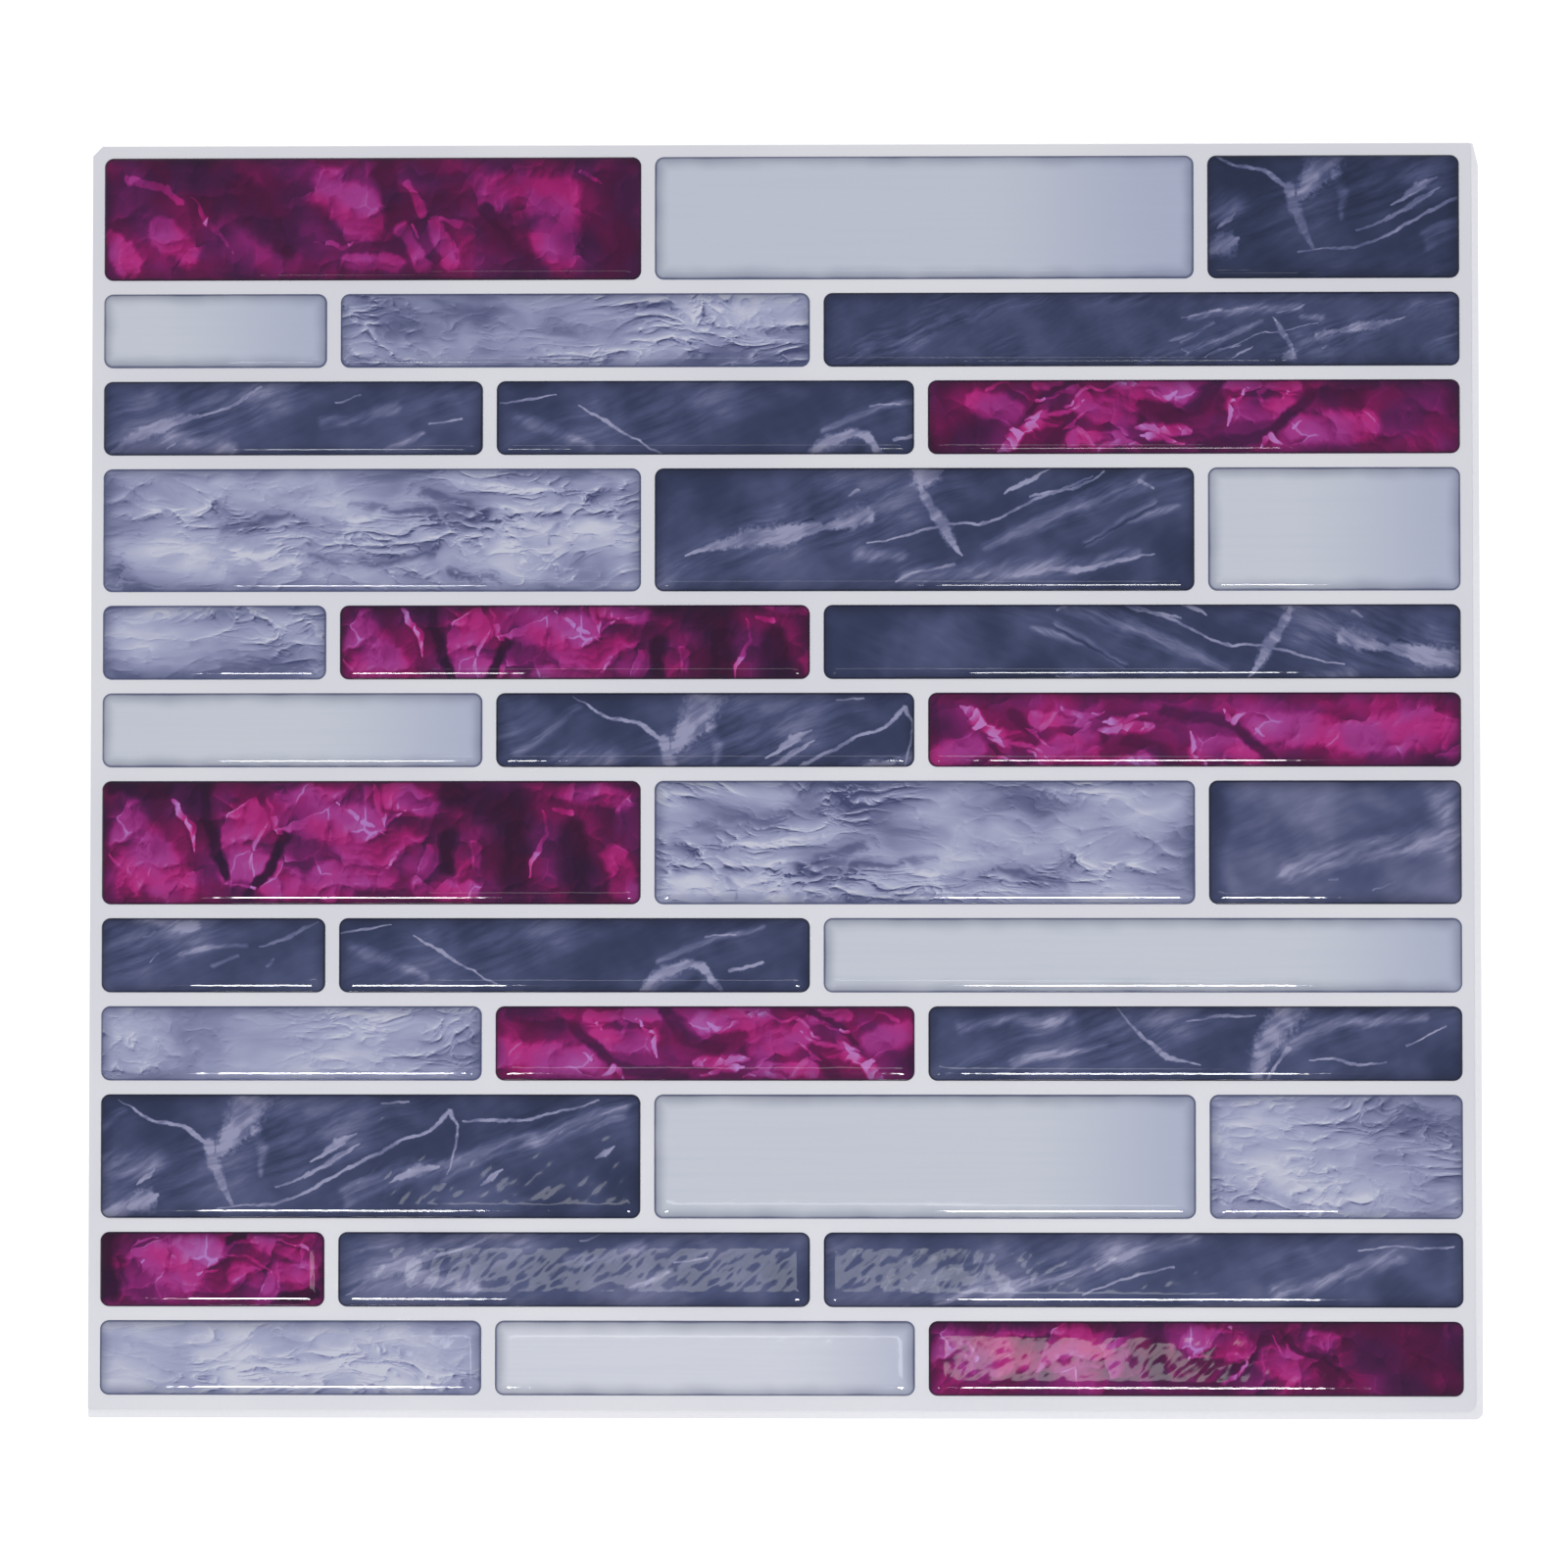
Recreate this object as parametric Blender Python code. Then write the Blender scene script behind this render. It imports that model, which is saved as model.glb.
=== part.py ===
"""Peel-and-stick mosaic backsplash sheet, lying face up.

A white printed film carries twelve courses of three domed gel tiles, with the film left bare
between them as grout. Under the film lies a release liner, which stands out past the film at
the right and at the near edge so that a thumb can start the peel.

X runs along the courses, +Y towards the top course, +Z out of the decorated face.
The origin is the middle of the underside.
"""

import math

import bmesh
import bpy

MM = 0.001

# Tile field
TALL_COURSE = 27.1 * MM
SHORT_COURSE = 16.3 * MM
GROUT_WIDTH = 3.0 * MM
PATTERN_REPEATS = 4

# Tile lengths: the tall course sets the width of the field, and in the short courses the right
# tile takes what is left of it
TALL_LEFT = 118.4 * MM
TALL_MIDDLE = 118.4 * MM
TALL_RIGHT = 55.2 * MM
UPPER_SHORT_LEFT = 49.2 * MM
UPPER_SHORT_MIDDLE = 103.3 * MM
LOWER_SHORT_LEFT = 83.6 * MM
LOWER_SHORT_MIDDLE = 91.8 * MM
FIELD_WIDTH = TALL_LEFT + TALL_MIDDLE + TALL_RIGHT + 2 * GROUT_WIDTH

# Domed gel tile
DOME_HEIGHT = 1.4 * MM
SHOULDER_WIDTH = 3.6 * MM
TILE_CORNER_RADIUS = 2.0 * MM
CROWN_CORNER_RADIUS = 3.0 * MM
SHOULDER_RINGS = 5
RING_SPREAD = 1.3
SHOULDER_POWER = 3
WIDEST_SHOULDER = 0.45
ARC_STEPS = 5

# Film with its adhesive back
FILM_THICKNESS = 0.45 * MM
FILM_MARGIN_LEFT = 2.6 * MM
FILM_MARGIN_RIGHT = 2.6 * MM
FILM_MARGIN_TOP = 2.6 * MM
FILM_MARGIN_BOTTOM = 3.2 * MM

# Release liner
LINER_THICKNESS = 0.15 * MM
LINER_TAB_RIGHT = 1.6 * MM
LINER_TAB_BOTTOM = 1.8 * MM

# Sheet corners
TOP_LEFT_SNIP = 2.1 * MM
TOP_RIGHT_SNIP_ALONG_X = 1.1 * MM
TOP_RIGHT_SNIP_ALONG_Y = 4.7 * MM
BOTTOM_RIGHT_RADIUS = 1.8 * MM
SQUARE_CORNER_RADIUS = 0.4 * MM

# One course of the pattern: height, left tile, middle tile
PATTERN = (
    (TALL_COURSE, TALL_LEFT, TALL_MIDDLE),
    (SHORT_COURSE, UPPER_SHORT_LEFT, UPPER_SHORT_MIDDLE),
    (SHORT_COURSE, LOWER_SHORT_LEFT, LOWER_SHORT_MIDDLE),
)
PLACES = ("left", "middle", "right")

# Print under the gel, course by course from the top: left, middle, right
PRINTS = (
    ("plum", "pale", "slate"),
    ("pale", "marble", "slate"),
    ("slate", "slate", "plum"),
    ("marble", "slate", "pale"),
    ("marble", "plum", "slate"),
    ("pale", "slate", "plum"),
    ("plum", "marble", "slate"),
    ("slate", "slate", "pale"),
    ("marble", "plum", "slate"),
    ("slate", "pale", "marble"),
    ("plum", "slate", "slate"),
    ("marble", "pale", "plum"),
)

# Finishes: colour as linear red, green, blue; roughness; metallic
FINISHES = {
    "plum": ((0.102, 0.014, 0.066), 0.08, 0.0),
    "pale": ((0.45, 0.49, 0.62), 0.08, 0.0),
    "slate": ((0.045, 0.055, 0.125), 0.08, 0.0),
    "marble": ((0.30, 0.33, 0.48), 0.08, 0.0),
    "film": ((0.66, 0.66, 0.72), 0.45, 0.0),
    "liner": ((0.80, 0.80, 0.83), 0.6, 0.0),
}
SMOOTH_ANGLE = math.radians(60)


def clear_scene():
    for item in list(bpy.data.objects):
        bpy.data.objects.remove(item, do_unlink=True)


def make_material(name):
    """Plain finish of one kind, by its name in the table of finishes."""
    colour, roughness, metallic = FINISHES[name]
    material = bpy.data.materials.new(name)
    material.use_nodes = True
    shader = material.node_tree.nodes["Principled BSDF"]
    shader.inputs["Base Color"].default_value = (*colour, 1.0)
    shader.inputs["Roughness"].default_value = roughness
    shader.inputs["Metallic"].default_value = metallic
    return material


def add_piece(name, bm, place, material, parent):
    """Turns a finished bmesh into an object at its place, under the sheet's empty."""
    bmesh.ops.recalc_face_normals(bm, faces=bm.faces[:])
    mesh = bpy.data.meshes.new(name)
    bm.to_mesh(mesh)
    bm.free()
    mesh.materials.append(material)
    mesh.shade_smooth()
    mesh.set_sharp_from_angle(angle=SMOOTH_ANGLE)
    piece = bpy.data.objects.new(name, mesh)
    piece.location = place
    piece.parent = parent
    bpy.context.scene.collection.objects.link(piece)


def corner_arc(x, y, reach_x, reach_y, quadrant, steps):
    """Points that replace a square corner at x, y: one step is a straight snip, more are round."""
    side_x = 1 if quadrant in (0, 3) else -1
    side_y = 1 if quadrant in (0, 1) else -1
    middle_x = x - side_x * reach_x
    middle_y = y - side_y * reach_y
    points = []
    for step in range(steps + 1):
        angle = (quadrant + step / steps) * math.pi / 2
        points.append((middle_x + reach_x * math.cos(angle), middle_y + reach_y * math.sin(angle)))
    return points


def rounded_ring(bm, length, width, radius, height):
    """Vertices of a level rectangle with round corners, centred on the tile."""
    corners = ((1, 1), (-1, 1), (-1, -1), (1, -1))
    ring = []
    for quadrant, (side_x, side_y) in enumerate(corners):
        arc = corner_arc(side_x * length / 2, side_y * width / 2, radius, radius, quadrant, ARC_STEPS)
        ring += [bm.verts.new((x, y, height)) for x, y in arc]
    return ring


def bridge(bm, lower, upper):
    """Quads between two rings of as many vertices."""
    for index in range(len(lower)):
        after = (index + 1) % len(lower)
        bm.faces.new((lower[index], lower[after], upper[after], upper[index]))


def dome_mesh(length, width):
    """Poured gel: it rises steeply from its outline and levels off into a flat crown."""
    bm = bmesh.new()
    shoulder = min(SHOULDER_WIDTH, WIDEST_SHOULDER * min(length, width))
    rings = []
    for step in range(SHOULDER_RINGS + 1):
        share = (step / SHOULDER_RINGS) ** RING_SPREAD
        inset = shoulder * share
        height = DOME_HEIGHT * (1 - (1 - share) ** SHOULDER_POWER)
        radius = TILE_CORNER_RADIUS + (CROWN_CORNER_RADIUS - TILE_CORNER_RADIUS) * share
        rings.append(rounded_ring(bm, length - 2 * inset, width - 2 * inset, radius, height))
    for lower, upper in zip(rings, rings[1:]):
        bridge(bm, lower, upper)
    bm.faces.new(reversed(rings[0]))
    bm.faces.new(rings[-1])
    return bm


def slab_mesh(left, right, bottom, top, thickness, corners):
    """Flat sheet from its outline: corners run anticlockwise from the top right."""
    bm = bmesh.new()
    places = ((right, top), (left, top), (left, bottom), (right, bottom))
    outline = []
    for quadrant, ((x, y), (reach_x, reach_y, steps)) in enumerate(zip(places, corners)):
        outline += corner_arc(x, y, reach_x, reach_y, quadrant, steps)
    face = bm.faces.new([bm.verts.new((x, y, 0)) for x, y in outline])
    raised = bmesh.ops.extrude_face_region(bm, geom=[face])
    lifted = [item for item in raised["geom"] if isinstance(item, bmesh.types.BMVert)]
    bmesh.ops.translate(bm, vec=(0, 0, thickness), verts=lifted)
    return bm


def course_lengths(left, middle):
    """The three tile lengths of a course, where the right one takes what is left."""
    right = FIELD_WIDTH - left - middle - 2 * GROUT_WIDTH
    return left, middle, right


def build_tiles(field_left, field_top, height, materials, parent):
    """Lays the courses from the top edge of the field downwards."""
    top = field_top
    courses = PATTERN * PATTERN_REPEATS
    for number, (width, left, middle) in enumerate(courses):
        start = field_left
        prints = PRINTS[number % len(PRINTS)]
        for side, length, kind in zip(PLACES, course_lengths(left, middle), prints):
            name = f"tile_row{number + 1:02d}_{side}"
            place = (start + length / 2, top - width / 2, height)
            add_piece(name, dome_mesh(length, width), place, materials[kind], parent)
            start += length + GROUT_WIDTH
        top -= width + GROUT_WIDTH


def build_sheet():
    materials = {name: make_material(name) for name in FINISHES}
    field_depth = PATTERN_REPEATS * sum(course[0] + GROUT_WIDTH for course in PATTERN) - GROUT_WIDTH
    film_width = FILM_MARGIN_LEFT + FIELD_WIDTH + FILM_MARGIN_RIGHT
    film_depth = FILM_MARGIN_TOP + field_depth + FILM_MARGIN_BOTTOM
    left = -(film_width + LINER_TAB_RIGHT) / 2
    top = (film_depth + LINER_TAB_BOTTOM) / 2

    sheet = bpy.data.objects.new("backsplash_sheet", None)
    bpy.context.scene.collection.objects.link(sheet)

    square = (SQUARE_CORNER_RADIUS, SQUARE_CORNER_RADIUS, ARC_STEPS)
    snipped = (TOP_LEFT_SNIP, TOP_LEFT_SNIP, 1)
    rounded = (BOTTOM_RIGHT_RADIUS, BOTTOM_RIGHT_RADIUS, ARC_STEPS)
    slanted = (TOP_RIGHT_SNIP_ALONG_X, TOP_RIGHT_SNIP_ALONG_Y, 1)

    liner = slab_mesh(
        left, -left, -top, top, LINER_THICKNESS, (slanted, snipped, square, rounded)
    )
    add_piece("release_liner", liner, (0, 0, 0), materials["liner"], sheet)

    film = slab_mesh(
        left, left + film_width, top - film_depth, top, FILM_THICKNESS, (square, snipped, square, rounded)
    )
    add_piece("printed_film", film, (0, 0, LINER_THICKNESS), materials["film"], sheet)

    face_height = LINER_THICKNESS + FILM_THICKNESS
    build_tiles(left + FILM_MARGIN_LEFT, top - FILM_MARGIN_TOP, face_height, materials, sheet)


clear_scene()
build_sheet()
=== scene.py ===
"""Looks of a peel-and-stick mosaic backsplash sheet, lying face up.

Each poured gel tile is modelled anew over its CAD node with a smoother dome, and the print that
shows through it is drawn by its material. The printed film and the release liner stay as they are
in the CAD and get their finishes here.

Places in the prints, and how far inside a tile's outline a place is, are in millimetres.
Everything else is in metres.
"""

import math

import bpy
from mathutils import Matrix, Quaternion, Vector


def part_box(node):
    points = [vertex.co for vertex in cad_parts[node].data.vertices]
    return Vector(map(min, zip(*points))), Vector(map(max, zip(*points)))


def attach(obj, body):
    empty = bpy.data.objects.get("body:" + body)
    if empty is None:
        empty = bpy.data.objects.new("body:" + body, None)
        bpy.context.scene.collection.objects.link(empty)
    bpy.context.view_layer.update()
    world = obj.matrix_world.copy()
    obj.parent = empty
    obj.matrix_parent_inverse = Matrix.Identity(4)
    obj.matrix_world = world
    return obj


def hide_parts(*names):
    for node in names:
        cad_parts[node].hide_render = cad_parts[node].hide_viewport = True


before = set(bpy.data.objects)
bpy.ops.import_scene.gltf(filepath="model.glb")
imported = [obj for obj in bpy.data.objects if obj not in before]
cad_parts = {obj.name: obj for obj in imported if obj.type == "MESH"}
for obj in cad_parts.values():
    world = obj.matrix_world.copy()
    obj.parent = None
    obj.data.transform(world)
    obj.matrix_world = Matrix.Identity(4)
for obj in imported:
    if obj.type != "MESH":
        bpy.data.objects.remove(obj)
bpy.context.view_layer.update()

MM = 0.001

# Gel dome
CORNER_RADIUS = 2.0 * MM
CORNER_SEGMENTS = 8
FOOT_HEIGHT = 0.08 * MM
SHOULDER = 3.6 * MM
SHOULDER_STEPS = 10
STEP_SPREAD = 1.3
SHOULDER_POWER = 3
CROWN_STEPS = (5.0 * MM, 7.0 * MM)
SMOOTH_ANGLE = math.radians(60)

# Gel's optics: how far inside the tile's outline the painted dark line, the painted shade and the
# ripples fade out or in, in mm, and how strong they are
SHADE_LINE_FADE = (0.1, 0.7)
SHADE_LINE_STRENGTH = 0.85
SHADE_LINE_WOBBLE = 0.3
SHADE_FADE = (-0.6, 3.6)
SHADE_WOBBLE = 1.6
RIPPLE_FADE = (2.5, 5.0)
RIPPLE_AT_EDGE = 0.35
RIPPLE_HEIGHT = 0.08 * MM
RIPPLE_ANGLE = 48.0
RIPPLES_ALONG, RIPPLES_ACROSS = 0.20, 0.38
GEL_ROUGHNESS = 0.05

# Prints: level of their ground between the darkest and the lightest ink, and strength of the
# shade painted along the dome's edge
SLATE_GROUND, SLATE_SHADING = 0.12, 0.45
MARBLE_GROUND, MARBLE_SHADING = 0.54, 0.50
PLUM_GROUND, PLUM_SHADING = 0.24, 0.45
PALE_SHADING = 0.42
PALE_RIPPLES = 0.3

# Angle of the slate's streaks and of the fine grain in them, in degrees
SLATE_SLANT = 22.0
GRAIN_SLANT = 28.0

# Brushed pale print: where painted shade darkens it towards the tile's right end, in mm, and how much
RIGHT_END_SHADE_FADE = (60.0, 105.0)
RIGHT_END_SHADE_STRENGTH = 0.78

# Film and liner
FILM_ROUGHNESS = 0.38
LINER_ROUGHNESS = 0.42
GRAIN_HEIGHT = 0.03 * MM

# Camera, from the photo's viewing angle
CAMERA_PLACE = Vector((0.0228, -0.0420, 1.1990))
CAMERA_AIM = Vector((0.0, -0.001, 0.0))
CAMERA_LENS = 125.6
CAMERA_NEAR = 0.01

# Floor and studio
FLOOR_SIZE = 6.0
FLOOR_DROP = 0.05 * MM
FLOOR_GREY = (0.82, 0.82, 0.83, 1.0)
FLOOR_GLOW = 0.35
STUDIO_WHITE = (0.95, 0.96, 1.0, 1.0)
STUDIO_STRENGTH = 0.30

# Lamps: place, aim, size along and across, watts
SOFT_LAMPS = {
    "soft overhead": ((0.0, -0.5, 1.4), (0.0, 0.0, 0.0), (1.2, 1.2), 16.0),
    "soft back": ((0.0, 0.9, 1.0), (0.0, 0.0, 0.0), (1.2, 0.8), 5.0),
}
# Lamps that show only in the gel's gloss, also with spread and turn about their own axis in degrees
GLOSS_LAMPS = {
    "left strip": ((-0.156, -0.42, 0.45), (-0.098, -0.10, 0.0), (0.095, 0.055), 0.042, 26.0, 0.0),
    "right strip": ((0.101, -0.42, 0.45), (0.073, -0.10, 0.0), (0.118, 0.055), 0.050, 26.0, 0.0),
    "left pane": ((-0.0375, -0.140, 0.6), (-0.0375, -0.107, 0.0), (0.181, 0.026), 0.040, 180.0, 0.0),
    "right pane": ((0.080, -0.171, 0.6), (0.080, -0.127, 0.0), (0.095, 0.028), 0.028, 180.0, -12.5),
}

# Tiles of a course, in the order of their names
SIDES = ("left", "middle", "right")


# Shader wiring

class Wire:
    """A node's output that can be used in a sum with other wires and numbers."""

    def __init__(self, finish, socket):
        self.finish = finish
        self.socket = socket

    def also(self, output):
        """Another output of the same node."""
        return Wire(self.finish, self.socket.node.outputs[output])

    def sum(self, operation, *values):
        return self.finish.node("Math", {"operation": operation}, dict(enumerate(values)))

    def __add__(self, other):
        return self.sum("ADD", self, other)

    def __radd__(self, other):
        return self.sum("ADD", other, self)

    def __sub__(self, other):
        return self.sum("SUBTRACT", self, other)

    def __rsub__(self, other):
        return self.sum("SUBTRACT", other, self)

    def __mul__(self, other):
        return self.sum("MULTIPLY", self, other)

    def __rmul__(self, other):
        return self.sum("MULTIPLY", other, self)

    def __truediv__(self, other):
        return self.sum("DIVIDE", self, other)

    def least(self, other):
        return self.sum("MINIMUM", self, other)

    def most(self, other):
        return self.sum("MAXIMUM", self, other)

    def clamped(self):
        return self.most(0.0).least(1.0)

    def ease(self, low, high):
        """From 0 where the value is low to 1 where it is high, with soft ends."""
        settings = {"interpolation_type": "SMOOTHSTEP", "clamp": False}
        return self.finish.node("MapRange", settings, {"Value": self, "From Min": low, "From Max": high})


def set_stops(ramp, stops):
    """Gives a colour ramp its stops: place and linear colour."""
    while len(ramp.elements) < len(stops):
        ramp.elements.new(1.0)
    for element, (position, colour) in zip(ramp.elements, stops):
        element.position = position
        element.color = (*colour, 1.0)


class Finish:
    """A material, built node by node."""

    def __init__(self, name):
        self.material = bpy.data.materials.new(name)
        self.material.use_nodes = True
        self.tree = self.material.node_tree
        self.tree.nodes.clear()

    def node(self, kind, settings, inputs, output=0):
        """Adds a node: its settings are set first, then its sockets get a value or a wire."""
        made = self.tree.nodes.new("ShaderNode" + kind)
        for key, value in settings.items():
            if key == "stops":
                set_stops(made.color_ramp, value)
            else:
                setattr(made, key, value)
        for key, value in inputs.items():
            if isinstance(value, Wire):
                self.tree.links.new(value.socket, made.inputs[key])
            else:
                made.inputs[key].default_value = value
        return Wire(self, made.outputs[output])

    def print_place(self):
        """Where on its print a place of the tile lies, in mm."""
        return self.node("UVMap", {"uv_map": "print"}, {})

    def object_place(self):
        return self.node("TexCoord", {}, {}, output="Object")

    def vector(self, operation, *values, output=0):
        return self.node("VectorMath", {"operation": operation}, dict(enumerate(values)), output)

    def mix(self, share, first, second):
        """Colour between two colours, on the Mix node's sockets for colours."""
        first, second = (c if isinstance(c, Wire) else (*c, 1.0) for c in (first, second))
        return self.node("Mix", {"data_type": "RGBA"}, {0: share, 6: first, 7: second}, output=2)

    def noise(self, place, scale, detail=3.0, roughness=0.5, colour=False):
        """Soft noise around 0.5: the scale is how many lumps lie on one unit of the place."""
        inputs = {"Vector": place, "Scale": scale, "Detail": detail, "Roughness": roughness}
        return self.node("TexNoise", {"noise_dimensions": "2D"}, inputs, "Color" if colour else "Fac")

    def ramp(self, level, stops):
        """Colour by level, from 0 to 1."""
        return self.node("ValToRGB", {"stops": stops}, {"Fac": level})

    def stretched(self, place, along, across):
        """Places scaled sideways and upwards."""
        inputs = {"Vector": place, "Scale": (along, across, 1.0)}
        return self.node("Mapping", {"vector_type": "POINT"}, inputs)

    def slanted(self, place, angle, along, across):
        """Places turned by an angle and scaled, for streaks that run at that angle."""
        turn = (0.0, 0.0, -math.radians(angle))
        turned = self.node("Mapping", {"vector_type": "POINT"}, {"Vector": place, "Rotation": turn})
        return self.stretched(turned, along, across)

    def warp(self, place, scale, amount, detail=1.0):
        """Pushes places about by up to about half the amount each way."""
        push = self.noise(place, scale, detail, colour=True)
        push = self.vector("SUBTRACT", push, (0.5, 0.5, 0.5))
        return self.vector("MULTIPLY_ADD", push, (amount, amount, 0.0), place)

    def relief(self, place, scale, detail, shift, roughness=0.5):
        """Light and shade of a creased sheet lit from one side: from about -0.3 to 0.3."""
        settings = {"noise_dimensions": "2D", "noise_type": "RIDGED_MULTIFRACTAL", "normalize": False}
        shape = {"Scale": scale, "Detail": detail, "Roughness": roughness, "Offset": 1.0, "Gain": 1.0}
        lit = self.node("TexNoise", settings, {"Vector": self.vector("ADD", place, shift), **shape})
        return lit - self.node("TexNoise", settings, {"Vector": place, **shape})

    def facets(self, place, scale):
        """Crumpled foil: flat facets that each lean their own way, from about -0.5 to 0.5."""
        inputs = {"Vector": place, "Scale": scale}
        own = self.node("TexVoronoi", {"voronoi_dimensions": "2D"}, inputs, output="Color")
        lean = self.vector("SUBTRACT", own, (0.5, 0.5, 0.5))
        offset = self.vector("SUBTRACT", place, own.also("Position"))
        slope = self.vector("DOT_PRODUCT", offset, lean, output="Value")
        tone = self.node("SeparateColor", {}, {"Color": own}, output="Blue")
        return slope * (1.6 * scale) + (tone - 0.5) * 0.5

    def cracks(self, place, scale):
        """How far a place is from the nearest crack of a crumpled sheet."""
        settings = {"voronoi_dimensions": "2D", "feature": "DISTANCE_TO_EDGE"}
        return self.node("TexVoronoi", settings, {"Vector": place, "Scale": scale})

    def strokes(self, place, lines):
        """How far a place is from the nearest stroke, as a share of that stroke's half width.

        A stroke is a row of points: x, y and half width.
        """
        nearest = None
        for line in lines:
            for (ax, ay, aw), (bx, by, bw) in zip(line, line[1:]):
                run = Vector((bx - ax, by - ay, 0.0))
                step = run / run.length_squared
                offset = self.vector("SUBTRACT", place, (ax, ay, 0.0))
                along = self.vector("DOT_PRODUCT", offset, step, output="Value").clamped()
                foot = self.node("VectorMath", {"operation": "SCALE"}, {"Vector": run, "Scale": along})
                apart = self.vector("DISTANCE", offset, foot, output="Value")
                share = apart / along.sum("MULTIPLY_ADD", along, bw - aw, aw)
                nearest = share if nearest is None else nearest.least(share)
        return nearest

    def bump(self, height, distance, strength):
        inputs = {"Strength": strength, "Distance": distance, "Height": height}
        return self.node("Bump", {}, inputs)

    def surface(self, colour, roughness, normal):
        inputs = {"Base Color": colour, "Roughness": roughness, "Normal": normal}
        return self.close(self.node("BsdfPrincipled", {}, inputs))

    def close(self, shader):
        """Leads the finished shader to the material's output."""
        output = self.tree.nodes.new("ShaderNodeOutputMaterial")
        self.tree.links.new(shader.socket, output.inputs[0])
        return self.material


# Print colours, from the darkest to the lightest ink of each print: place on the scale, then
# linear colour

SLATE_INKS = (
    (0.0, (0.016, 0.024, 0.060)), (0.25, (0.032, 0.042, 0.100)), (0.5, (0.063, 0.077, 0.166)),
    (0.75, (0.132, 0.141, 0.256)), (1.0, (0.280, 0.285, 0.425)),
)
MARBLE_INKS = (
    (0.0, (0.050, 0.058, 0.140)), (0.25, (0.125, 0.134, 0.250)), (0.5, (0.255, 0.268, 0.420)),
    (0.75, (0.365, 0.382, 0.532)), (1.0, (0.530, 0.542, 0.640)),
)
PLUM_RED_INKS = (
    (0.0, (0.026, 0.002, 0.022)), (0.25, (0.079, 0.003, 0.046)), (0.45, (0.172, 0.004, 0.080)),
    (0.62, (0.288, 0.006, 0.121)), (0.82, (0.405, 0.020, 0.190)), (1.0, (0.460, 0.165, 0.455)),
)
PLUM_VIOLET_INKS = (
    (0.0, (0.020, 0.003, 0.026)), (0.25, (0.060, 0.006, 0.056)), (0.45, (0.132, 0.008, 0.096)),
    (0.62, (0.226, 0.012, 0.146)), (0.82, (0.320, 0.034, 0.232)), (1.0, (0.405, 0.170, 0.480)),
)
PALE_DIM = (0.488, 0.522, 0.600)
PALE_COOL = (0.531, 0.560, 0.630)
PALE_BRIGHT = (0.605, 0.624, 0.692)
PALE_RIGHT_END_SHADE = (0.350, 0.382, 0.525)
PALE_LILAC = (0.440, 0.465, 0.600)
# Painted shade: colours of the dark line and the shade painted along each tile's gel edge
SLATE_EDGE_SHADE = (0.010, 0.014, 0.034)
MARBLE_EDGE_SHADE = (0.070, 0.085, 0.175)
PLUM_EDGE_SHADE = (0.020, 0.006, 0.024)
FILM_WHITE = (0.680, 0.678, 0.720)
FILM_SHADE = (0.600, 0.602, 0.660)
LINER_WHITE = (0.800, 0.800, 0.830)


def under_gel(finish, print_colour, edge_shade_colour, shading, rippled=1.0):
    """Closes a print with the dark line and the shade that the dome's edge gives it, both painted into
    the colour.
    """
    rim = finish.node("Attribute", {"attribute_name": "rim"}, {}, output="Fac")
    place = finish.print_place()
    wobble = finish.noise(place, 0.12, 1.0) - 0.5
    # Painted shade: a dark line along the gel's outline and softer shade a few mm inward
    line = 1.0 - (rim + wobble * SHADE_LINE_WOBBLE).ease(*SHADE_LINE_FADE)
    shade = 1.0 - (rim + wobble * SHADE_WOBBLE).ease(*SHADE_FADE)
    colour = finish.mix(shade * shading, print_colour, edge_shade_colour)
    colour = finish.mix(line * SHADE_LINE_STRENGTH, colour, edge_shade_colour)
    waves = finish.noise(finish.slanted(place, RIPPLE_ANGLE, RIPPLES_ALONG, RIPPLES_ACROSS), 1.0, 0.5)
    calm = RIPPLE_AT_EDGE + rim.ease(*RIPPLE_FADE) * (1.0 - RIPPLE_AT_EDGE)
    normal = finish.bump((waves - 0.5) * calm, RIPPLE_HEIGHT, rippled)
    return finish.surface(colour, GEL_ROUGHNESS + wobble * 0.02, normal)


def slate_print(name, bright, faint, dark=(), streaks=1.0, base=0.0, clouds=0.42, veins=0.56):
    """Navy slate: smooth clouds, bundles of slanting streaks and pale veins.

    Bright, faint and dark are strokes. Streaks and clouds say how strong these are, base how much
    lighter the whole print is, and veins how light the bright strokes are.
    """
    finish = Finish(name)
    place = finish.print_place()
    bent = finish.warp(place, 0.06, 4.0)
    fine = finish.warp(bent, 0.36, 0.75)

    cloud = finish.noise(bent, 0.045, 3.0).ease(0.25, 0.75)
    streak = finish.noise(finish.slanted(bent, SLATE_SLANT, 0.040, 0.32), 1.0, 5.0, 0.68)
    bundle = finish.noise(finish.slanted(bent, SLATE_SLANT, 0.018, 0.055), 1.0, 1.0).ease(0.44, 0.68)
    inner = finish.noise(finish.slanted(fine, GRAIN_SLANT, 0.10, 0.70), 1.0, 3.0)
    level = SLATE_GROUND + base + cloud * clouds
    level = level + (streak - 0.44) * (0.06 + bundle) * (1.1 * streaks) + (inner - 0.5) * 0.12
    band = 1.0 - (finish.strokes(fine, faint) - (streak - 0.5) * 1.2).ease(0.10, 1.25)
    level = level + band * (inner * 0.75 - 0.08)
    if dark:
        gap = 1.0 - finish.strokes(fine, dark).ease(0.1, 1.2)
        level = level - gap * 0.30
    ragged = finish.noise(place, 0.8, 3.0, 0.6)
    fade = finish.noise(place, 0.15, 1.0).ease(0.32, 0.60)
    torn = (ragged - 0.5) * 0.9 + (streak - 0.45) * 0.5
    vein = 1.0 - (finish.strokes(fine, bright) * 0.8 - torn).ease(0.40, 1.10)
    level = level + vein * (0.70 + fade * 0.30) * (veins + inner * 0.8 - level)
    return under_gel(finish, finish.ramp(level, SLATE_INKS), SLATE_EDGE_SHADE, SLATE_SHADING)


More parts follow.
